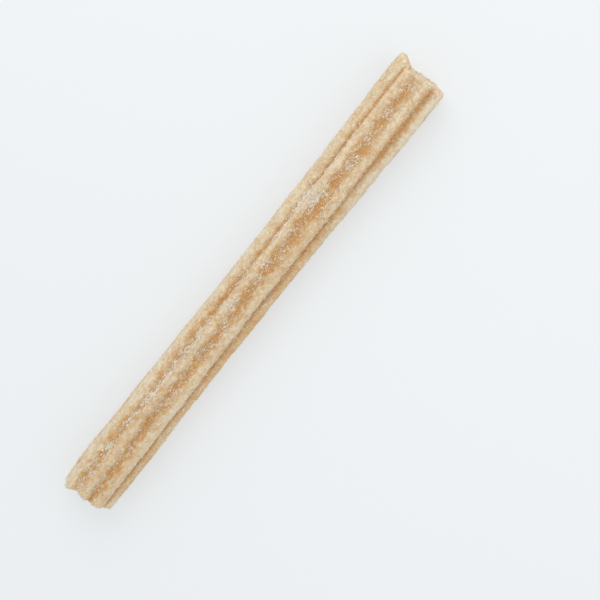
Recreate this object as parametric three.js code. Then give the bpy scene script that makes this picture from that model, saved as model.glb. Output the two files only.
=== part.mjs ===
// A churro: one straight stick of baked dough, piped through a star nozzle so that eight rounded ridges run
// along it with a slow twist, and cut off at both ends.
//
// Millimetres. +X runs along the churro and +Z is up. The origin is the bottom centre of its box.
// An angle round the axis is in radians, 0 at the top and growing towards -Y.
import * as THREE from 'three';

// Overall form
const LENGTH = 254;
const WAIST_RADIUS = 13; // from the axis to the ridge crests, where the churro is thinnest
const WAIST_AT = 0.47; // where along the length that is, from 0 at the -X end to 1
const FLARE = 1.2; // how much the radius has grown half a length away from the waist
const END_LIFT = 1.0; // the axis bows, and both ends ride this much higher than the middle
const SIDE_BEND = 1.1; // and the +X end curves this far aside, towards -Y
const FOOT_DEPTH = 11.5; // the flat it lies on is this far below the axis at mid length
const TWIST = THREE.MathUtils.degToRad(17.5); // how far the ridges turn from end to end

// The ridges, in order round the axis, as the angles of their crests at mid length
const CREST_ANGLES = [-112, -60.5, -16, 28.5, 71, 110, 156, 202].map(THREE.MathUtils.degToRad);
const CREST_DOME = 0.7; // how far a crest would fall away to the middle of a gap without the valleys
const CREST_UNEVEN = 0.3; // how much a crest's height rises and falls along the churro
const CREST_WANDER = THREE.MathUtils.degToRad(1.2); // how far a crest strays to either side

// The valleys, each in the gap between a crest of the list above and the next. Depth, half-width and shift
// are those at mid length. The shift, off the middle of the gap, is a share of that gap. From the -X end to
// the +X end a valley widens by a share of its width, and drifts by a share of its gap.
const VALLEYS = [
  { depth: 1.9, halfWidth: 1.9, widening: 0, shift: 0, drift: 0 },
  { depth: 1.35, halfWidth: 1.7, widening: -0.8, shift: 0.16, drift: 0.12 },
  { depth: 1.8, halfWidth: 2.5, widening: 0.3, shift: 0, drift: 0 },
  { depth: 1.55, halfWidth: 1.6, widening: 1.0, shift: 0, drift: 0.06 },
  { depth: 2.1, halfWidth: 2.1, widening: 0, shift: 0, drift: 0.1 },
  { depth: 2.2, halfWidth: 2.0, widening: 0.2, shift: 0, drift: 0 },
  { depth: 2.0, halfWidth: 2.2, widening: -0.2, shift: 0, drift: -0.1 },
  { depth: 2.2, halfWidth: 2.0, widening: 0.1, shift: 0, drift: 0 },
];
const VALLEY_STEEPNESS = 3.2; // 2 gives soft flanks, and more gives steeper ones and a flatter floor
const VALLEY_UNEVEN = 0.4; // how much a valley's depth changes along the churro
const WIDTH_UNEVEN = 0.12; // the same for its width, as a share
const VALLEY_WANDER = 0.35; // how far its floor strays to either side

// The cut ends
const PINCH_LENGTH = 9; // the radius falls towards a cut over about this length
const CUT_RIPPLE = 0.4; // how far a cut strays from a plane, either way
const RIPPLE_COUNT = 3; // waves of it round the axis
// Each cut lies back from the full length, and one of its waves is deepest at a given angle. The pinch is how
// much the radius has fallen at the cut, and the rim is the radius of the rounding into the cut face.
const LEFT_CUT = { back: 3.3, deepestAt: THREE.MathUtils.degToRad(-43), pinch: 1.4, rim: 0.9 };
const RIGHT_CUT = { back: 0.65, deepestAt: THREE.MathUtils.degToRad(-27), pinch: 0.45, rim: 1.6 };
// One ridge at each end sticks out further, by a length, round an angle. The width, in radians, is how far
// round it takes to fall back.
const LEFT_TIP = { at: THREE.MathUtils.degToRad(-91), width: 0.84, length: 3.4 };
const RIGHT_TIP = { at: THREE.MathUtils.degToRad(-60), width: 0.54, length: 3.1 };
const TIP_STEEPNESS = 6; // 2 makes it fall back gently, and more makes it a step
const DISH = 0.9; // how far the middle of a cut face is sunk

// Facets
const RINGS = 62;
const GAP_STEPS = [0, 0.22, 0.32, 0.41, 0.5, 0.59, 0.68, 0.78]; // vertices from one crest to the next
const ROUND_STEPS = 3;
const FACE_STEPS = [0.4, 0.72]; // the cut face's own rings, from the middle out, as shares of its outline

// The sines that make a value uneven along the churro: each has a share of the whole and a wavelength
const UNEVEN_SINES = [
  { share: 0.5, wavelength: 97 },
  { share: 0.33, wavelength: 37 },
  { share: 0.17, wavelength: 14.5 },
];

// A smooth, uneven value between -1 and 1 along x. Each row number gives a different one.
function uneven(x, row) {
  let sum = 0;
  for (const { share, wavelength } of UNEVEN_SINES) {
    sum += share * Math.sin((2 * Math.PI * x) / wavelength + row * wavelength);
  }
  return sum;
}

// The churro's outer radius over its crests at x
function crestRadius(x) {
  const fromWaist = x / LENGTH + 0.5 - WAIST_AT;
  const leftPinch = LEFT_CUT.pinch * Math.exp((-LENGTH / 2 - x) / PINCH_LENGTH);
  const rightPinch = RIGHT_CUT.pinch * Math.exp((x - LENGTH / 2) / PINCH_LENGTH);
  return WAIST_RADIUS + FLARE * (fromWaist / 0.5) ** 2 - leftPinch - rightPinch;
}

// The angle of a crest at x. Crest number 8 is crest 0 again, a whole turn on.
function crestAngle(number, x) {
  const count = CREST_ANGLES.length;
  const base = CREST_ANGLES[number % count] + (number >= count ? 2 * Math.PI : 0);
  return base - (TWIST * x) / LENGTH + CREST_WANDER * uneven(x, number % count);
}

// The distance from the axis to the surface at x, a given share of the way from one crest to the next
function surfaceRadius(gap, share, x) {
  const count = CREST_ANGLES.length;
  const next = (gap + 1) % count;
  const { depth, halfWidth, widening, shift, drift } = VALLEYS[gap];
  const arc = (crestAngle(gap + 1, x) - crestAngle(gap, x)) * crestRadius(x);
  const floorAt = 0.5 + shift + (drift * x) / LENGTH;
  const fromFloor = Math.abs((share - floorAt) * arc - VALLEY_WANDER * uneven(x, 3 * count + gap));
  const reach = halfWidth * (1 + (widening * x) / LENGTH + WIDTH_UNEVEN * uneven(x, 2 * count + gap));
  const sink = depth + VALLEY_UNEVEN * uneven(x, 4 * count + gap);
  const valley = sink * Math.exp(-((fromFloor / reach) ** VALLEY_STEEPNESS));
  const lift = THREE.MathUtils.lerp(uneven(x, count + gap), uneven(x, count + next), share);
  const dome = CREST_DOME * Math.sin(Math.PI * share) ** 2;
  return crestRadius(x) + CREST_UNEVEN * lift - dome - valley;
}

// How far an end is cut back from the full length at an angle. side is -1 or 1.
function cutBack(side, angle) {
  const { back, deepestAt } = side < 0 ? LEFT_CUT : RIGHT_CUT;
  const { at, width, length } = side < 0 ? LEFT_TIP : RIGHT_TIP;
  const ripple = CUT_RIPPLE * Math.cos(RIPPLE_COUNT * (angle - deepestAt));
  const turn = Math.atan2(Math.sin(angle - at), Math.cos(angle - at));
  return back + ripple - length * Math.exp(-((turn / width) ** TIP_STEEPNESS));
}

// A point of the surface: on the bowed axis at x, then out by a radius, and no lower than the flat foot
function place(x, angle, radius) {
  const y = -SIDE_BEND * (x / LENGTH + 0.5) ** 2 - radius * Math.sin(angle);
  const z = END_LIFT * ((2 * x) / LENGTH) ** 2 + radius * Math.cos(angle);
  return new THREE.Vector3(x, y, Math.max(z, -FOOT_DEPTH));
}

// One closed ring of points round the axis. alongAt gives each point's x for its angle.
function ring(alongAt, inset, scale) {
  const points = [];
  for (let gap = 0; gap < CREST_ANGLES.length; gap++) {
    for (const share of GAP_STEPS) {
      const guess = THREE.MathUtils.lerp(crestAngle(gap, 0), crestAngle(gap + 1, 0), share);
      const x = alongAt(guess);
      const angle = THREE.MathUtils.lerp(crestAngle(gap, x), crestAngle(gap + 1, x), share);
      points.push(place(x, angle, scale * (surfaceRadius(gap, share, x) - inset)));
    }
  }
  return points;
}

// The rings of one end, from the middle of the cut face out to the end of its rounded edge
function endRings(side) {
  const end = (side * LENGTH) / 2;
  const cut = side < 0 ? LEFT_CUT : RIGHT_CUT;
  const middle = end - side * (cut.back + DISH);
  const edge = (angle) => end - side * cutBack(side, angle);
  const rings = FACE_STEPS.map((scale) => {
    const blend = scale ** 2;
    return ring((angle) => THREE.MathUtils.lerp(middle, edge(angle), blend), cut.rim, scale);
  });
  for (let step = 0; step < ROUND_STEPS; step++) {
    const turn = (step / ROUND_STEPS) * (Math.PI / 2);
    const inset = cut.rim * (1 - Math.sin(turn));
    const back = cut.rim * (1 - Math.cos(turn));
    rings.push(ring((angle) => edge(angle) - side * back, inset, 1));
  }
  return { centre: place(middle, 0, 0), rings };
}

// The rings between the two rounded edges
function bodyRings() {
  const rings = [];
  for (let index = 0; index <= RINGS; index++) {
    const share = index / RINGS;
    rings.push(
      ring((angle) => {
        const start = -LENGTH / 2 + cutBack(-1, angle) + LEFT_CUT.rim;
        const finish = LENGTH / 2 - cutBack(1, angle) - RIGHT_CUT.rim;
        return THREE.MathUtils.lerp(start, finish, share);
      }, 0, 1),
    );
  }
  return rings;
}

// One closed skin over rings of equal size, with a point at either end
function skin(first, rings, last) {
  const size = rings[0].length;
  const points = [first, ...rings.flat(), last];
  const finish = points.length - 1;
  const faces = [];
  for (let side = 0; side < size; side++) {
    const next = (side + 1) % size;
    faces.push(0, 1 + next, 1 + side);
    for (let row = 1; row < rings.length; row++) {
      const low = 1 + (row - 1) * size;
      const high = low + size;
      faces.push(low + side, high + next, high + side);
      faces.push(low + side, low + next, high + next);
    }
    const edge = 1 + (rings.length - 1) * size;
    faces.push(edge + side, edge + next, finish);
  }
  const geometry = new THREE.BufferGeometry().setFromPoints(points);
  geometry.setIndex(faces);
  return geometry;
}

// The whole stick, moved so that the origin is the bottom centre of its box
function churroGeometry() {
  const left = endRings(-1);
  const right = endRings(1);
  const rings = [...left.rings, ...bodyRings(), ...right.rings.reverse()];
  const geometry = skin(left.centre, rings, right.centre);
  geometry.computeBoundingBox();
  const centre = geometry.boundingBox.getCenter(new THREE.Vector3());
  geometry.translate(-centre.x, -centre.y, -geometry.boundingBox.min.z);
  geometry.computeVertexNormals();
  return geometry;
}

const dough = new THREE.MeshStandardMaterial({ color: 0xd9bd93, roughness: 0.85, metalness: 0 });

const churro = new THREE.Mesh(churroGeometry(), dough);
churro.name = 'churro';

const object = new THREE.Group();
object.add(churro);

export default object;
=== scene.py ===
"""A churro on a pale floor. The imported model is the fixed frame, and this script dresses it.

The dough repeats the solid's form with far finer relief. The sugar is grains of real size.
Lengths are in millimetres until a mesh is made, and metres from there on.
"""

import math

import bpy
import numpy as np
from mathutils import Matrix, Vector, noise

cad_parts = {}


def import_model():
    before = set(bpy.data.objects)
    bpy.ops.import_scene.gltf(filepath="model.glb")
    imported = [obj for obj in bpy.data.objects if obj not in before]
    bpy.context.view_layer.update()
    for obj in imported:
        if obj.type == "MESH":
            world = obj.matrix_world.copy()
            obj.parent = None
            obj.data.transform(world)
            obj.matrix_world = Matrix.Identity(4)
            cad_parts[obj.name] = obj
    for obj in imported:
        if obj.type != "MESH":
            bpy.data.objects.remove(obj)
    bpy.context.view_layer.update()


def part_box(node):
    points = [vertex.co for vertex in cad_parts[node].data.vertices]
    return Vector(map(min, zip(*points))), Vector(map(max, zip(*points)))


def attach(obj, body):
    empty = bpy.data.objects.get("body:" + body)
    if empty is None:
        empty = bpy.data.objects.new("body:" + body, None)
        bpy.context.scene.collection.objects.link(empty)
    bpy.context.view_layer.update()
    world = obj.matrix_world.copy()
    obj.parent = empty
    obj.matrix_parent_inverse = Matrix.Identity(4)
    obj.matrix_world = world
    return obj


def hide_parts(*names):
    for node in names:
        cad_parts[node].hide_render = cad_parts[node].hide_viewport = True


MM = 0.001
SEED = 11

# The form, as in the solid: +X along the churro, +Z up, angles from the top towards -Y
LENGTH = 254.0
WAIST_RADIUS = 13.0  # from the axis to the crests, where the churro is thinnest
WAIST_AT = 0.47  # where along the length that is, from 0 at the -X end to 1
FLARE = 1.2  # how much the radius has grown half a length away from the waist
END_LIFT = 1.0  # how much higher the two ends ride than the middle
SIDE_BEND = 1.1  # how far the +X end curves aside, towards -Y
FOOT_DEPTH = 11.5  # how far the flat it lies on is below the axis at mid length
TWIST = math.radians(17.5)  # how far the ridges turn from end to end
CREST_ANGLES = np.radians([-112, -60.5, -16, 28.5, 71, 110, 156, 202])
CREST_DOME = 0.7  # how far a crest would fall away to the middle of a gap without the valleys
CREST_UNEVEN = 0.3  # how much a crest's height rises and falls along the churro
CREST_WANDER = math.radians(1.2)  # how far a crest strays to either side
VALLEY_STEEPNESS = 3.2  # 2 gives soft flanks, and more gives steeper ones and a flatter floor
VALLEY_UNEVEN = 0.4  # how much a valley's depth changes along the churro
WIDTH_UNEVEN = 0.12  # the same for its width, as a share
VALLEY_WANDER = 0.35  # how far its floor strays to either side
UNEVEN_SINES = ((0.5, 97.0), (0.33, 37.0), (0.17, 14.5))  # share of the whole, and wavelength

# The cut ends, as in the solid: how far a cut lies back, the angle where one of its waves is deepest, how
# much the radius has fallen there, and the radius of its rim. One ridge at each end sticks out further, by
# a length, round an angle. The width, in radians, is how far round it takes to fall back.
PINCH_LENGTH = 9.0  # the radius falls towards a cut over about this length
CUT_RIPPLE = 0.4  # how far a cut strays from a plane, either way
RIPPLE_COUNT = 3  # waves of it round the axis
TIP_STEEPNESS = 6  # 2 makes a tip fall back gently, and more makes it a step
LEFT_CUT = {"back": 3.3, "deepest_at": math.radians(-43), "pinch": 1.4, "rim": 0.9}
LEFT_TIP = {"at": math.radians(-91), "width": 0.84, "length": 3.4}
RIGHT_CUT = {"back": 0.65, "deepest_at": math.radians(-27), "pinch": 0.45, "rim": 1.6}
RIGHT_TIP = {"at": math.radians(-60), "width": 0.54, "length": 3.1}
DISH = 0.9  # how far the middle of a cut face is sunk

# The valleys, each in the gap after a crest: depth, half-width, widening, shift and drift as in the solid
VALLEYS = np.array(
    [
        (1.9, 1.9, 0.0, 0.0, 0.0),
        (1.35, 1.7, -0.8, 0.16, 0.12),
        (1.8, 2.5, 0.3, 0.0, 0.0),
        (1.55, 1.6, 1.0, 0.0, 0.06),
        (2.1, 2.1, 0.0, 0.0, 0.1),
        (2.2, 2.0, 0.2, 0.0, 0.0),
        (2.0, 2.2, -0.2, 0.0, -0.1),
        (2.2, 2.0, 0.1, 0.0, 0.0),
    ]
)
RIDGES = len(CREST_ANGLES)

# The tables from here on give each valley or ridge a row, with its values at even steps from the -X end to
# the +X end. They are read from the photo for what it shows, and guessed after the same pattern elsewhere.

# How browned each valley is along its floor, and on the flanks before and after the floor. Part of this
# darkening is painted shade in the creases
FLOOR_TONE = np.array(
    [
        (0.3, 0.3, 0.3, 0.3, 0.4),
        (0.05, 0.3, 0.55, 0.5, 0.8),
        (0.3, 0.3, 0.3, 0.3, 0.25),
        (0.6, 0.5, 0.3, 0.4, 0.6),
        (0.3, 0.2, 0.1, 0.0, 0.0),
        (0.3, 0.2, 0.2, 0.3, 0.3),
        (0.3, 0.3, 0.4, 0.3, 0.3),
        (0.3, 0.3, 0.3, 0.3, 0.3),
    ]
)
BEFORE_TONE = np.array(
    [
        (0.2, 0.3, 0.3, 0.3, 0.3),
        (0.6, 0.5, 0.55, 0.3, 0.4),
        (0.4, 0.45, 0.8, 0.95, 0.3),
        (0.6, 0.5, 0.1, 0.1, 1.4),
        (0.1, 0.1, 0.1, 0.1, 0.0),
        (0.5, 0.5, 0.4, 0.5, 0.6),
        (0.6, 0.5, 0.4, 0.5, 0.5),
        (0.5, 0.6, 0.7, 0.6, 0.6),
    ]
)
AFTER_TONE = np.array(
    [
        (0.1, 0.1, 0.1, 0.1, 0.1),
        (0.65, 0.8, 0.4, 0.4, 1.0),
        (1.05, 0.75, 0.95, 0.8, 0.4),
        (0.35, 0.05, 0.0, 0.5, 1.2),
        (0.5, 0.4, 0.2, 0.1, 0.0),
        (0.5, 0.6, 0.6, 0.6, 0.6),
        (0.6, 0.7, 0.7, 0.6, 0.5),
        (0.5, 0.4, 0.4, 0.5, 0.6),
    ]
)
# How far the browning and its painted shade spread up the flanks before and after each floor, in
# half-widths
BEFORE_SPREAD = np.array(
    [(0.9, 1.0), (2.0, 1.6), (1.0, 1.2), (1.1, 1.6), (1.0, 1.0), (1.1, 1.3), (1.2, 1.1), (1.1, 1.2)]
)
AFTER_SPREAD = np.array(
    [(0.9, 1.0), (1.3, 1.0), (1.2, 1.1), (1.4, 1.0), (1.2, 1.3), (1.1, 1.1), (1.3, 1.1), (1.1, 1.2)]
)
# How browned each ridge is on its crest, with painted light and shade on two ridges
CREST_TONE = np.array(
    [
        (0.15, 0.2, 0.15, 0.2, 0.15),
        # painted light: this ridge, on the side the light comes from, is kept paler
        (0.12, 0.1, 0.18, 0.2, 0.35),
        (0.32, 0.28, 0.28, 0.1, 0.28),
        (0.36, 0.12, 0.23, 0.3, 0.06),
        # painted shade in this ridge's middle, and painted light at its +X end
        (0.38, 0.45, 0.6, 0.15, -0.15),
        (0.25, 0.3, 0.2, 0.1, 0.0),
        (0.25, 0.25, 0.2, 0.25, 0.2),
        (0.2, 0.15, 0.2, 0.25, 0.2),
    ]
)
# How much sugar lies in each valley
SUGARING = np.array(
    [
        (0.4, 0.5, 0.4, 0.5, 0.4),
        (0.3, 1.3, 0.4, 0.5, 0.1),
        (0.1, 0.45, 0.35, 0.45, 0.4),
        (0.05, 0.1, 0.1, 0.1, 0.05),
        (0.4, 0.5, 0.6, 0.5, 0.4),
        (0.5, 0.4, 0.5, 0.4, 0.5),
        (0.4, 0.3, 0.3, 0.4, 0.3),
        (0.5, 0.5, 0.4, 0.5, 0.5),
    ]
)

# How patchy the browning of each valley is
PATCHINESS = np.array([1.0, 0.9, 1.0, 0.45, 0.7, 1.0, 1.0, 1.0])
# How far the sugar of each valley lies off its floor, in half-widths
SUGAR_SHIFT = np.array([0.0, 0.25, 0.0, 0.0, 0.0, 0.0, 0.0, 0.0])

# The browning, with its painted light and shade
FLOOR_LINE = 0.5  # how wide the brown line on a valley's floor is, as a share of the valley; the line is partly painted shade
CREST_BLEND = (0.35, 0.65)  # between these shares of a gap, one crest's tone gives way to the next one's
CUT_PALENESS = 0.6  # how much paler the crust is at a cut, as a share
CUT_PALE_REACH = 3.0  # over about this length
CUT_TONE = 0.1  # how brown a cut face is

# Noise layers, each with an amount, the size of its lumps in mm, and a number that sets it apart
TORN_CUTS = ((0.35, 2.6, 3), (0.2, 1.1, 6))  # how far back the edge of a cut is torn
RAGGED_VALLEYS = ((0.3, 4.5, 1), (0.4, 1.8, 2))  # how much a valley widens, as a share
SKIN_RELIEF = ((0.16, 9.0, 11), (0.2, 2.6, 12), (0.12, 1.3, 13))  # bumps all over
VALLEY_RELIEF = ((0.25, 1.5, 14), (0.14, 0.8, 15))  # more of them in the valleys
SHOULDER_RELIEF = ((0.4, 1.7, 20),)  # and crumbs along the valleys' sides
CUT_PITS = ((0.7, 2.4, 16), (0.4, 1.2, 24))  # how deep the pits in a cut face are
BROWN_PATCHES = ((1.3, 3.0, 18), (1.6, 1.3, 19))  # how much the browning of a flank varies, as a share
BROWN_DRIFT = ((0.1, 14.0, 17),)  # how much browner or paler whole stretches are
SUGAR_CLUMPS = ((1.0, 3.5, 21), (0.7, 1.4, 22), (0.5, 0.7, 23))  # where the sugar clumps
NOISE_STEP = (17.3, 5.1, 9.7)  # each number looks at the same noise this much further on

SHOULDER_WIDTH = 0.45  # half the width of the crumbly strip along each side of a valley, in half-widths
PATCH_STRETCH = np.array([0.5, 1.0, 1.0])  # points times this have patches drawn out along the churro

# The grid of the skin
COLUMNS_PER_GAP = 26
COLUMNS = RIDGES * COLUMNS_PER_GAP
BODY_ROWS = 440
ROUND_ROWS = 5  # over the rounded edge of each cut
FACE_ROWS = 14  # over each cut face


# Helpers

def lerp(a, b, t):
    return a + (b - a) * t


def smooth_step(edges, value):
    low, high = edges
    t = np.clip((value - low) / (high - low), 0, 1)
    return t * t * (3 - 2 * t)


def at_steps(table, row, along):
    """A row's value at a share of the length, between its values at even steps."""
    last = table.shape[1] - 1
    step = np.clip(along * last, 0, last - 1e-6)  # always short of the last value, so that one follows
    start = step.astype(int)
    return lerp(table[row, start], table[row, start + 1], step - start)


def uneven(x, row):
    """A smooth, uneven value between -1 and 1 along x, another for each row number."""
    return sum(share * np.sin(2 * np.pi * x / wave + row * wave) for share, wave in UNEVEN_SINES)


def field(points, size, number):
    """Smooth noise between about -1 and 1 at points in mm, with lumps of about that size."""
    shift = Vector([number * step for step in NOISE_STEP])
    values = [noise.noise(Vector(point) + shift) for point in points.reshape(-1, 3) / size]
    return np.array(values).reshape(points.shape[:-1])


def layered(points, layers, other=0):
    """The sum of several noise layers. Another number makes the same kind of noise, but not the same."""
    return sum(amount * field(points, size, number + other) for amount, size, number in layers)


# The form

def crest_radius(x):
    """The distance from the axis to the crests."""
    from_waist = x / LENGTH + 0.5 - WAIST_AT
    left_pinch = LEFT_CUT["pinch"] * np.exp((-LENGTH / 2 - x) / PINCH_LENGTH)
    right_pinch = RIGHT_CUT["pinch"] * np.exp((x - LENGTH / 2) / PINCH_LENGTH)
    return WAIST_RADIUS + FLARE * (from_waist / 0.5) ** 2 - left_pinch - right_pinch


def crest_angle(number, x):
    """The angle of a crest at x. The number after the last is the first one again, a whole turn on."""
    base = CREST_ANGLES[number % RIDGES] + np.where(number >= RIDGES, 2 * np.pi, 0.0)
    return base - TWIST * x / LENGTH + CREST_WANDER * uneven(x, number % RIDGES)


def from_floor(gap, share, x):
    """How far a point is from its valley's floor, signed, and the valley's half-width there."""
    _, half_width, widening, shift, drift = np.moveaxis(VALLEYS[gap], -1, 0)
    arc = (crest_angle(gap + 1, x) - crest_angle(gap, x)) * crest_radius(x)
    floor_at = 0.5 + shift + drift * x / LENGTH
    offset = (share - floor_at) * arc - VALLEY_WANDER * uneven(x, 3 * RIDGES + gap)
    reach = half_width * (1 + widening * x / LENGTH + WIDTH_UNEVEN * uneven(x, 2 * RIDGES + gap))
    return offset, reach


def surface_radius(gap, share, x, ragged):
    """The distance from the axis to the surface. ragged widens or narrows the valley there by a share."""
    offset, reach = from_floor(gap, share, x)
    sink = VALLEYS[gap, 0] + VALLEY_UNEVEN * uneven(x, 4 * RIDGES + gap)
    valley = sink * np.exp(-((np.abs(offset) / (reach * (1 + ragged))) ** VALLEY_STEEPNESS))
    lift = lerp(uneven(x, RIDGES + gap), uneven(x, RIDGES + (gap + 1) % RIDGES), share)
    dome = CREST_DOME * np.sin(np.pi * share) ** 2
    return crest_radius(x) + CREST_UNEVEN * lift - dome - valley


def cut_back(side, angle):
    """How far an end is cut back from the full length. side is -1 or 1."""
    cut, tip = (LEFT_CUT, LEFT_TIP) if side < 0 else (RIGHT_CUT, RIGHT_TIP)
    ripple = CUT_RIPPLE * np.cos(RIPPLE_COUNT * (angle - cut["deepest_at"]))
    turn = np.arctan2(np.sin(angle - tip["at"]), np.cos(angle - tip["at"]))
    return cut["back"] + ripple - tip["length"] * np.exp(-((turn / tip["width"]) ** TIP_STEEPNESS))


def place(x, angle, radius):
    """Points on the bowed axis at x, then out by a radius."""
    y = -SIDE_BEND * (x / LENGTH + 0.5) ** 2 - radius * np.sin(angle)
    z = END_LIFT * (2 * x / LENGTH) ** 2 + radius * np.cos(angle)
    return np.stack(np.broadcast_arrays(x, y, z), axis=-1)


class Skin:
    """The churro's smooth surface in mm, as a grid of rows along it and columns round it."""

    def __init__(self):
        column = np.arange(COLUMNS)
        self.gap = column // COLUMNS_PER_GAP
        self.share = (column % COLUMNS_PER_GAP) / COLUMNS_PER_GAP
        self.rows = []
        self.row_cuts = []
        self.add_end(-1)
        self.add_body()
        self.add_end(1)
        self.points = np.array(self.rows)
        self.x = self.points[..., 0]
        self.along = self.x / LENGTH + 0.5
        # How far each point is inside a cut face, from 0 to 1
        self.cut = np.broadcast_to(np.array(self.row_cuts)[:, None], self.x.shape)
        # How far it is from its valley's floor, in half-widths, negative before the floor
        offset, reach = from_floor(self.gap, self.share, self.x)
        self.across = offset / reach
        self.normals = self.outward()

    def angle(self, x):
        """The angle of each column at x."""
        return lerp(crest_angle(self.gap, x), crest_angle(self.gap + 1, x), self.share)

    def cut_edge(self, side):
        """Where the skin meets the cut face, column by column."""
        angle = self.angle(0.0)
        torn = layered(place(side * LENGTH / 2, angle, WAIST_RADIUS), TORN_CUTS, side)
        return side * (LENGTH / 2 - cut_back(side, angle) - torn)

    def add_row(self, x, inset, scale, cut):
        """A row at x, shrunk by an inset and a scale. cut says how far it is inside a cut face."""
        angle = self.angle(x)
        ragged = layered(place(x, angle, WAIST_RADIUS), RAGGED_VALLEYS)
        radius = scale * (surface_radius(self.gap, self.share, x, ragged) - inset)
        self.rows.append(place(x, angle, radius))
        self.row_cuts.append(cut)

    def add_end(self, side):
        """The rows of one end: the cut face, and the rounded edge that leads into it."""
        edge = self.cut_edge(side)
        cut = LEFT_CUT if side < 0 else RIGHT_CUT
        middle = side * (LENGTH / 2 - cut["back"] - DISH)
        rows = []
        for step in range(1, FACE_ROWS + 1):
            scale = step / (FACE_ROWS + 1)
            rows.append((lerp(middle, edge, scale**2), cut["rim"], scale, 1.0))
        for step in range(ROUND_ROWS):
            turn = step / ROUND_ROWS * math.pi / 2
            inset = cut["rim"] * (1 - math.sin(turn))
            back = cut["rim"] * (1 - math.cos(turn))
            rows.append((edge - side * back, inset, 1.0, math.cos(turn) ** 2))
        for row in rows if side < 0 else reversed(rows):
            self.add_row(*row)

    def add_body(self):
        """The rows between the two rounded edges."""
        start = self.cut_edge(-1) + LEFT_CUT["rim"]
        finish = self.cut_edge(1) - RIGHT_CUT["rim"]
        for row in range(BODY_ROWS + 1):
            self.add_row(lerp(start, finish, row / BODY_ROWS), 0.0, 1.0, 0.0)

    def outward(self):
        """The outward unit normals."""
        along = np.gradient(self.points, axis=0)
        around = np.roll(self.points, -1, axis=1) - np.roll(self.points, 1, axis=1)
        across = np.cross(around, along)
        return across / np.maximum(np.linalg.norm(across, axis=-1, keepdims=True), 1e-9)


# Meshes

def faces_of(rows, columns):
    """Quads of a closed tube of rows, and triangles to a point at either end. The end points come last."""
    row, column = np.meshgrid(np.arange(rows - 1), np.arange(columns), indexing="ij")
    after = (column + 1) % columns
    low, high = row * columns, (row + 1) * columns
    quads = np.stack([low + column, low + after, high + after, high + column], axis=-1).reshape(-1, 4)
    first, last = rows * columns, rows * columns + 1
    end = (rows - 1) * columns
    pairs = [(a, (a + 1) % columns) for a in range(columns)]
    caps = [(first, b, a) for a, b in pairs]
    caps += [(last, end + a, end + b) for a, b in pairs]
    return quads.tolist() + caps


def new_mesh(name, points, faces, material, smooth=True):
    """A piece from points in mm."""
    mesh = bpy.data.meshes.new(name)
    mesh.from_pydata((points * MM).tolist(), [], faces)
    mesh.polygons.foreach_set("use_smooth", [smooth] * len(mesh.polygons))
    mesh.materials.append(material)
    mesh.validate()
    mesh.update()
    piece = bpy.data.objects.new(name, mesh)
    bpy.context.scene.collection.objects.link(piece)
    return piece


def set_attribute(piece, name, values):
    attribute = piece.data.attributes.new(name, "FLOAT", "POINT")
    attribute.data.foreach_set("value", np.asarray(values, dtype=np.float32).ravel())


# Materials

def srgb(red, green, blue):
    """A colour from its sRGB values of 0 to 255, as the linear one that nodes take."""
    def linear(value):
        value /= 255
        return value / 12.92 if value <= 0.04045 else ((value + 0.055) / 1.055) ** 2.4
    return (linear(red), linear(green), linear(blue), 1.0)


# The crust's colours, from the sugared crests to the brownest flanks of the valleys; the tone that picks
# them also paints shade in the valleys and light and shade on some crests
CRUST_STOPS = (
    (0.0, srgb(233, 220, 194)),
    (0.25, srgb(223, 200, 165)),
    (0.5, srgb(215, 182, 138)),
    (0.75, srgb(210, 167, 112)),
    (1.0, srgb(209, 155, 90)),
)
CUT_COLOUR = srgb(206, 164, 118)
CUT_TINT = 0.3  # how much of that colour a cut face takes on
DOUGH_GLOW = (1.0, 0.55, 0.3)  # how far red, green and blue light spread in the dough, beside one another
DOUGH_GLOW_REACH = 1.6  # how far that is in mm for red
BUMP_HEIGHT = 0.35  # the height in mm of what is too fine for the mesh
MOTTLE_BUMP = 0.6  # how much of it each pattern makes
GRAIN_BUMP = 0.4
# How much each pattern moves the crust's browning
PATCHES_AMOUNT = 0.8
MOTTLE_AMOUNT = 1.25
GRAIN_AMOUNT = 0.95
PORES_AMOUNT = 0.5
SUGAR_WHITE = srgb(246, 239, 226)
SUGAR_TAN = srgb(231, 206, 175)
DUST_WHITE = srgb(236, 219, 194)
DUST_TAN = srgb(222, 190, 152)
SUGAR_TINTS = (0.35, 0.6)  # the grains are tan below the first noise value and white above the second
# The floor glows a little, so that it is as white as in the photo and still shows the churro's shadow
FLOOR_DARKER = srgb(170, 172, 173)
FLOOR_LIGHTER = srgb(172, 174, 175)
FLOOR_GLOW = srgb(250, 253, 255)
FLOOR_GLOW_STRENGTH = 0.48


def new_material(name):
    material = bpy.data.materials.new(name)
    material.use_nodes = True
    return material, material.node_tree, material.node_tree.nodes["Principled BSDF"]


def add(tree, kind, inputs=None, **settings):
    """A new node of a kind, with its settings, and its inputs set or linked."""
    made = tree.nodes.new(kind)
    for name, value in settings.items():
        setattr(made, name, value)
    for socket, value in (inputs or {}).items():
        if isinstance(value, bpy.types.NodeSocket):
            tree.links.new(value, made.inputs[socket])
        else:
            made.inputs[socket].default_value = value
    return made


def maths(tree, operation, a, b):
    return add(tree, "ShaderNodeMath", {0: a, 1: b}, operation=operation).outputs[0]


def map_range(tree, value, source=(0.0, 1.0), target=(0.0, 1.0)):
    """A value carried over from one range to another."""
    inputs = {"Value": value, "From Min": source[0], "From Max": source[1]}
    inputs.update({"To Min": target[0], "To Max": target[1]})
    return add(tree, "ShaderNodeMapRange", inputs).outputs["Result"]


def mix_colour(tree, factor, a, b):
    return add(tree, "ShaderNodeMix", {0: factor, 6: a, 7: b}, data_type="RGBA").outputs[2]


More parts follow.
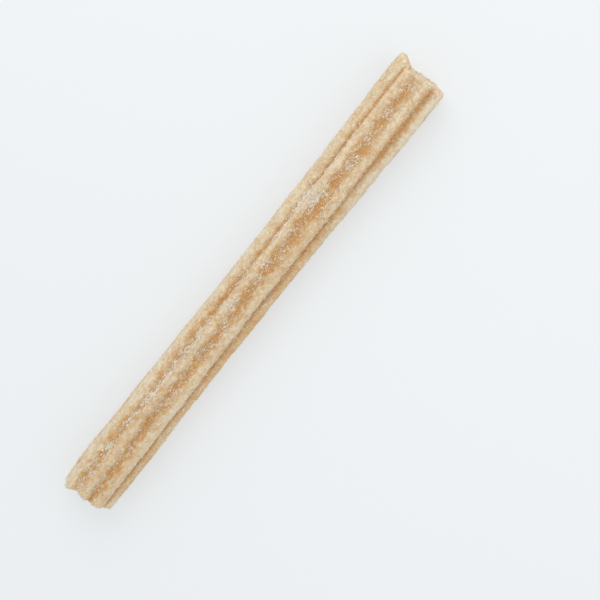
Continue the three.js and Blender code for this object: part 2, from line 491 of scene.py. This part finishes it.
def texture_noise(tree, size, detail=2.0, roughness=0.5):
    """Noise with lumps of about a size in mm, in object space, which is the shared frame in metres."""
    where = add(tree, "ShaderNodeTexCoord").outputs["Object"]
    inputs = {"Vector": where, "Scale": 1 / (size * MM), "Detail": detail, "Roughness": roughness}
    return add(tree, "ShaderNodeTexNoise", inputs).outputs["Fac"]


def ramp(tree, factor, stops):
    """A colour ramp from (position, colour) stops."""
    made = add(tree, "ShaderNodeValToRGB", {"Fac": factor})
    elements = made.color_ramp.elements
    while len(elements) < len(stops):
        elements.new(0.5)
    for element, (position, colour) in zip(elements, stops):
        element.position = position
        element.color = colour
    return made.outputs["Color"]


def dough_material():
    """Its mesh says how browned each point is, painted light and shade included, and how far inside a cut
    face, where the dough has pores.
    """
    material, tree, shader = new_material("fried_dough")
    # the crust's browning, with painted shade in the valleys and painted light and shade on two ridges'
    # crests
    tone = add(tree, "ShaderNodeAttribute", attribute_name="brown_and_painted_light").outputs["Fac"]
    cut = add(tree, "ShaderNodeAttribute", attribute_name="cut").outputs["Fac"]
    patches = texture_noise(tree, size=6.0, detail=3.0)
    mottle = texture_noise(tree, size=1.7, detail=3.0, roughness=0.6)
    grain = texture_noise(tree, size=0.55)
    holes = map_range(tree, texture_noise(tree, size=1.6, detail=1.0), source=(0.52, 0.66))
    pores = maths(tree, "MULTIPLY", holes, cut)
    tone = maths(tree, "ADD", tone, maths(tree, "MULTIPLY", pores, PORES_AMOUNT))
    for pattern, amount in ((patches, PATCHES_AMOUNT), (mottle, MOTTLE_AMOUNT), (grain, GRAIN_AMOUNT)):
        varied = maths(tree, "MULTIPLY", maths(tree, "SUBTRACT", pattern, 0.5), amount)
        tone = maths(tree, "ADD", tone, varied)
    colour = ramp(tree, tone, CRUST_STOPS)
    colour = mix_colour(tree, maths(tree, "MULTIPLY", cut, CUT_TINT), colour, CUT_COLOUR)
    tree.links.new(colour, shader.inputs["Base Color"])
    rough = map_range(tree, mottle, source=(0.3, 0.7), target=(0.62, 0.88))
    tree.links.new(rough, shader.inputs["Roughness"])
    shader.inputs["Specular IOR Level"].default_value = 0.35
    shader.inputs["Subsurface Weight"].default_value = 0.6
    shader.inputs["Subsurface Radius"].default_value = DOUGH_GLOW
    shader.inputs["Subsurface Scale"].default_value = DOUGH_GLOW_REACH * MM
    mottle_height = maths(tree, "MULTIPLY", mottle, MOTTLE_BUMP)
    grain_height = maths(tree, "MULTIPLY", grain, GRAIN_BUMP)
    height = maths(tree, "SUBTRACT", maths(tree, "ADD", mottle_height, grain_height), pores)
    bump = add(tree, "ShaderNodeBump", {"Height": height, "Strength": 0.6, "Distance": BUMP_HEIGHT * MM})
    tree.links.new(bump.outputs["Normal"], shader.inputs["Normal"])
    return material


def sugar_material(name, tan, white):
    material, tree, shader = new_material(name)
    tint = texture_noise(tree, size=1.2, detail=1.0)
    colour = ramp(tree, tint, list(zip(SUGAR_TINTS, (tan, white))))
    tree.links.new(colour, shader.inputs["Base Color"])
    tree.links.new(map_range(tree, tint, target=(0.2, 0.45)), shader.inputs["Roughness"])
    shader.inputs["Specular IOR Level"].default_value = 0.5
    return material


def floor_material():
    material, tree, shader = new_material("pale_floor")
    colour = ramp(tree, texture_noise(tree, size=400.0), ((0.3, FLOOR_DARKER), (0.7, FLOOR_LIGHTER)))
    tree.links.new(colour, shader.inputs["Base Color"])
    shader.inputs["Roughness"].default_value = 0.7
    shader.inputs["Specular IOR Level"].default_value = 0.2
    shader.inputs["Emission Color"].default_value = FLOOR_GLOW
    shader.inputs["Emission Strength"].default_value = FLOOR_GLOW_STRENGTH
    return material


# The dough

def on_flanks(skin, before, after):
    """The values of one table before each valley's floor, and of the other after it."""
    value_before = at_steps(before, skin.gap, skin.along)
    value_after = at_steps(after, skin.gap, skin.along)
    return np.where(skin.across < 0, value_before, value_after)


def browning_and_painted_light(skin):
    """How browned the crust is, from 0 to about 1, with painted shade along the valleys and painted light
    and shade on some crests.
    """
    strength = on_flanks(skin, BEFORE_TONE, AFTER_TONE)
    spread = on_flanks(skin, BEFORE_SPREAD, AFTER_SPREAD)
    flank = strength * np.exp(-((skin.across / spread) ** 2))
    patches = layered(skin.points * PATCH_STRETCH, BROWN_PATCHES)
    flank *= np.clip(1 + PATCHINESS[skin.gap] * patches, 0, 2)
    # the dark line along each floor, partly painted shade in the crease
    floor_line = at_steps(FLOOR_TONE, skin.gap, skin.along) * np.exp(-((skin.across / FLOOR_LINE) ** 2))
    here = at_steps(CREST_TONE, skin.gap, skin.along)
    following = at_steps(CREST_TONE, (skin.gap + 1) % RIDGES, skin.along)
    crests = lerp(here, following, smooth_step(CREST_BLEND, skin.share))
    from_left = skin.x + LENGTH / 2 - LEFT_CUT["back"]
    from_right = LENGTH / 2 - RIGHT_CUT["back"] - skin.x
    from_cut = np.maximum(np.minimum(from_left, from_right), 0)
    crust = (crests + flank + floor_line) * (1 - CUT_PALENESS * np.exp(-from_cut / CUT_PALE_REACH))
    return lerp(crust, CUT_TONE, skin.cut) + layered(skin.points, BROWN_DRIFT)


def relief_of(skin):
    """How far the crumbly surface stands above the smooth one, in mm."""
    valley = np.exp(-(skin.across**2)) * (1 - skin.cut)
    shoulder = np.exp(-(((np.abs(skin.across) - 1) / SHOULDER_WIDTH) ** 2)) * (1 - skin.cut)
    relief = layered(skin.points, SKIN_RELIEF)
    relief += valley * layered(skin.points, VALLEY_RELIEF)
    relief += shoulder * layered(skin.points, SHOULDER_RELIEF)
    for depth, size, number in CUT_PITS:
        relief -= skin.cut * depth * np.maximum(field(skin.points, size, number), 0)
    return relief


def crust_points(skin, box):
    """The skin's points with their relief, moved to where the solid stands."""
    points = skin.points + skin.normals * relief_of(skin)[..., None]
    points[..., 2] = np.maximum(points[..., 2], -FOOT_DEPTH)
    smooth = skin.points.reshape(-1, 3)
    middle = (np.array(box[0]) + np.array(box[1])) / 2 / MM
    shift = middle - (smooth.min(axis=0) + smooth.max(axis=0)) / 2
    shift[2] = FOOT_DEPTH
    return points + shift


def make_dough(skin, points):
    """The piece of dough, with its crust tone, painted light and shade included, and the cut faces as
    values of its points.
    """
    rows, columns = skin.x.shape
    # the browning, with its painted light and shade
    brown_and_painted_light = browning_and_painted_light(skin)
    ends = [points[0].mean(axis=0), points[-1].mean(axis=0)]
    corners = np.vstack([points.reshape(-1, 3), ends])
    piece = new_mesh("dough", corners, faces_of(rows, columns), dough_material())
    set_attribute(piece, "brown_and_painted_light", np.append(brown_and_painted_light, [brown_and_painted_light[0].mean(), brown_and_painted_light[-1].mean()]))
    set_attribute(piece, "cut", np.append(skin.cut, [1.0, 1.0]))
    return piece


# The sugar

# A crystal's corners at size 1, and its faces
BOX = (
    np.array([(i, j, k) for i in (-1, 1) for j in (-1, 1) for k in (-1, 1)]) / 2,
    np.array([(0, 1, 3, 2), (4, 6, 7, 5), (0, 4, 5, 1), (2, 3, 7, 6), (0, 2, 6, 4), (1, 5, 7, 3)]),
)
SHARD = (
    np.array([(1, 1, 1), (1, -1, -1), (-1, 1, -1), (-1, -1, 1)]) / 2,
    np.array([(0, 1, 2), (0, 2, 3), (0, 3, 1), (1, 3, 2)]),
)
# The grains of each kind: how many, and the smallest and largest in mm
FINE_GRAINS = (16000, 0.22, 0.45)
COARSE_GRAINS = (2000, 0.4, 0.65)
DUST_GRAINS = (38000, 0.2, 0.38)
GRAIN_SIDES = (0.65, 1.2)  # the shortest and longest side of a grain, as shares of its size
GRAIN_CORNERS = (0.75, 1.1)  # how near and far its corners are, as shares of where the sides put them
GRAIN_RISE = 0.22  # how far its middle is above the dough, as a share of its size

SUGAR_REACH = 1.1  # how far the sugar reaches to either side in a valley, in half-widths
SUGAR_EVERYWHERE = 0.02
CUT_SUGAR = 0.12  # how much sugar sticks to a cut face
CLUMP_EDGES = (-0.1, 0.35)  # the noise values where a clump of sugar begins and where it is full
BETWEEN_CLUMPS = 0.06  # how much of the sugar still lies between the clumps
BETWEEN_SPILL_CLUMPS = 0.1  # the same for the spills
COARSE_CLUMPING = 1.6  # the coarse grains keep to the thick of the sugar
DUST_EVERYWHERE = 0.25
DUST_IN_VALLEYS = 0.5  # how much more of the finest sugar lies in every valley

# Patches of sugar on the ridges: where along the churro in mm, the angle, and the two half-widths in mm
SPILLS = (
    (-34.0, math.radians(-24), 7.0, 2.2),
    (-10.0, math.radians(-26), 4.0, 2.0),
    (-8.0, math.radians(-3), 5.0, 2.0),
    (50.0, math.radians(-30), 6.0, 2.0),
    (56.0, math.radians(-13), 5.0, 5.5),
    (17.0, math.radians(-4), 3.0, 2.0),
)


def sugar_density(skin):
    """How thickly the sugar lies, from 0 to about 1."""
    amount = at_steps(SUGARING, skin.gap, skin.along)
    in_valley = amount * np.exp(-(((skin.across - SUGAR_SHIFT[skin.gap]) / SUGAR_REACH) ** 4))
    clumping = smooth_step(CLUMP_EDGES, layered(skin.points * PATCH_STRETCH, SUGAR_CLUMPS))
    density = lerp(in_valley, CUT_SUGAR, skin.cut) * lerp(BETWEEN_CLUMPS, 1, clumping) + SUGAR_EVERYWHERE
    angle = skin.angle(skin.x)
    for at, turn, half_length, half_width in SPILLS:
        aside = (angle - turn) * WAIST_RADIUS
        patch = np.exp(-(((skin.x - at) / half_length) ** 2) - (aside / half_width) ** 2)
        density = density + patch * lerp(BETWEEN_SPILL_CLUMPS, 1, clumping)
    return density


def scatter(skin, points, density, count, rng):
    """Random places on the dough, more of them where the density is high: their centres and normals."""
    corner = points[:-1]
    along = points[1:] - corner
    around = np.roll(corner, -1, axis=1) - corner
    area = np.linalg.norm(np.cross(along, around), axis=-1)
    weight = (area * density[:-1]).ravel()
    chosen = rng.choice(weight.size, size=count, p=weight / weight.sum())
    row, column = np.divmod(chosen, COLUMNS)
    u, v = rng.random((2, count, 1))
    centre = corner[row, column] + u * along[row, column] + v * around[row, column]
    return centre, skin.normals[row, column]


def grains(name, crystal, centres, normals, sizes, material, rng):
    """One piece of crystals, each turned and skewed by chance and sunk a little into the dough."""
    count = len(centres)
    corners, faces = crystal
    turns, _ = np.linalg.qr(rng.normal(size=(count, 3, 3)))
    turns *= np.linalg.det(turns)[:, None, None]  # a mirrored crystal would be inside out
    shape = corners * rng.uniform(*GRAIN_SIDES, (count, 1, 3)) * sizes[:, None, None]
    shape = shape * rng.uniform(*GRAIN_CORNERS, (count, len(corners), 1))
    points = np.einsum("nij,nkj->nki", turns, shape)
    points += (centres + normals * (GRAIN_RISE * sizes)[:, None])[:, None]
    points[..., 2] = np.maximum(points[..., 2], 0.0)
    faces = faces + len(corners) * np.arange(count)[:, None, None]
    faces = faces.reshape(-1, faces.shape[-1]).tolist()
    return new_mesh(name, points.reshape(-1, 3), faces, material, smooth=False)


def make_sugar(skin, points):
    """The pieces of sugar, one for each kind of grain."""
    rng = np.random.default_rng(SEED)
    density = sugar_density(skin)
    valley = np.exp(-(skin.across**4)) * (1 - skin.cut)
    dusting = density + DUST_EVERYWHERE + DUST_IN_VALLEYS * valley
    sugar = sugar_material("sugar", SUGAR_TAN, SUGAR_WHITE)
    dust = sugar_material("sugar_dust", DUST_TAN, DUST_WHITE)
    pieces = []
    for name, crystal, spread, (count, smallest, largest), material in (
        ("sugar_fine", BOX, density, FINE_GRAINS, sugar),
        ("sugar_coarse", BOX, density**COARSE_CLUMPING, COARSE_GRAINS, sugar),
        ("sugar_dust", SHARD, dusting, DUST_GRAINS, dust),
    ):
        centres, normals = scatter(skin, points, spread, count, rng)
        sizes = rng.uniform(smallest, largest, count)
        pieces.append(grains(name, crystal, centres, normals, sizes, material, rng))
    return pieces


# The stage, in metres

CHURRO_MIDDLE = Vector((0, 0, 0.0133))  # about half way up, where the camera and the lights aim
CAMERA_DISTANCE = 0.8
CAMERA_TILT = math.radians(12.5)  # how far the view leans towards the +X end
IMAGE_TURN = math.radians(51.29)  # how far +X points up from rightwards in the frame
PIXEL = 0.4575e-3  # the size of a pixel at the churro
FRAME_PIXELS = 600
CENTRE_PIXEL = (249.2, 291.1)  # where the churro's middle is in the frame
SENSOR = 36.0  # in mm, as Blender has it
FLOOR_HALF = 4.0  # half the side of the floor
# A light stands at an offset from the churro, in the camera's right, down and backward directions
KEY_LIGHT = {"offset": (-0.1, -0.5, 0.75), "size": 0.7, "power": 2.75, "colour": (1.0, 0.99, 0.97)}
FILL_LIGHT = {"offset": (0.5, 0.15, 0.85), "size": 0.9, "power": 1.6, "colour": (0.99, 0.99, 1.0)}
SKY_COLOUR = (0.95, 0.98, 1.0, 1.0)
SKY_STRENGTH = 0.71


def camera_axes():
    """The view's forward, right and down directions."""
    forward = -Vector((math.sin(CAMERA_TILT), 0, math.cos(CAMERA_TILT)))
    along = Vector((1, 0, 0))
    along = (along - forward * along.dot(forward)).normalized()
    across = forward.cross(along)
    right = along * math.cos(IMAGE_TURN) + across * math.sin(IMAGE_TURN)
    down = across * math.cos(IMAGE_TURN) - along * math.sin(IMAGE_TURN)
    return forward, right, down


def aim(thing, at, right, up, forward):
    """Puts a camera or a light at a place, looking forward."""
    turn = Matrix((right, up, -forward)).transposed().to_4x4()
    thing.matrix_world = Matrix.Translation(at) @ turn


def make_camera():
    forward, right, down = camera_axes()
    half = FRAME_PIXELS / 2
    aside = right * (CENTRE_PIXEL[0] - half) + down * (CENTRE_PIXEL[1] - half)
    data = bpy.data.cameras.new("camera")
    data.sensor_width = SENSOR
    data.lens = SENSOR * CAMERA_DISTANCE / (FRAME_PIXELS * PIXEL)
    camera = bpy.data.objects.new("camera", data)
    bpy.context.scene.collection.objects.link(camera)
    aim(camera, CHURRO_MIDDLE - forward * CAMERA_DISTANCE - aside * PIXEL, right, -down, forward)
    bpy.context.scene.camera = camera


def make_light(name, offset, size, power, colour):
    """A soft square light, aimed at the churro."""
    forward, right, down = camera_axes()
    data = bpy.data.lights.new(name, "AREA")
    data.shape = "SQUARE"
    data.size = size
    data.energy = power
    data.color = colour
    light = bpy.data.objects.new(name, data)
    bpy.context.scene.collection.objects.link(light)
    at = CHURRO_MIDDLE + right * offset[0] + down * offset[1] - forward * offset[2]
    towards = (CHURRO_MIDDLE - at).normalized()
    side = towards.cross(Vector((0, 1, 0))).normalized()
    aim(light, at, side, side.cross(towards), towards)


def make_floor():
    mesh = bpy.data.meshes.new("floor")
    square = ((-1, -1), (1, -1), (1, 1), (-1, 1))
    mesh.from_pydata([(x * FLOOR_HALF, y * FLOOR_HALF, 0) for x, y in square], [], [(0, 1, 2, 3)])
    mesh.materials.append(floor_material())
    floor = bpy.data.objects.new("floor", mesh)
    bpy.context.scene.collection.objects.link(floor)


def make_stage():
    make_floor()
    make_light("key", **KEY_LIGHT)
    make_light("fill", **FILL_LIGHT)
    world = bpy.data.worlds.new("world")
    bpy.context.scene.world = world
    world.use_nodes = True
    background = world.node_tree.nodes["Background"]
    background.inputs["Color"].default_value = SKY_COLOUR
    background.inputs["Strength"].default_value = SKY_STRENGTH
    bpy.context.scene.view_settings.view_transform = "Standard"


def main():
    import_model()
    make_camera()
    make_stage()
    skin = Skin()
    points = crust_points(skin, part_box("churro"))
    dough = make_dough(skin, points)
    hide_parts("churro")
    for piece in [dough] + make_sugar(skin, points):
        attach(piece, "root")


main()
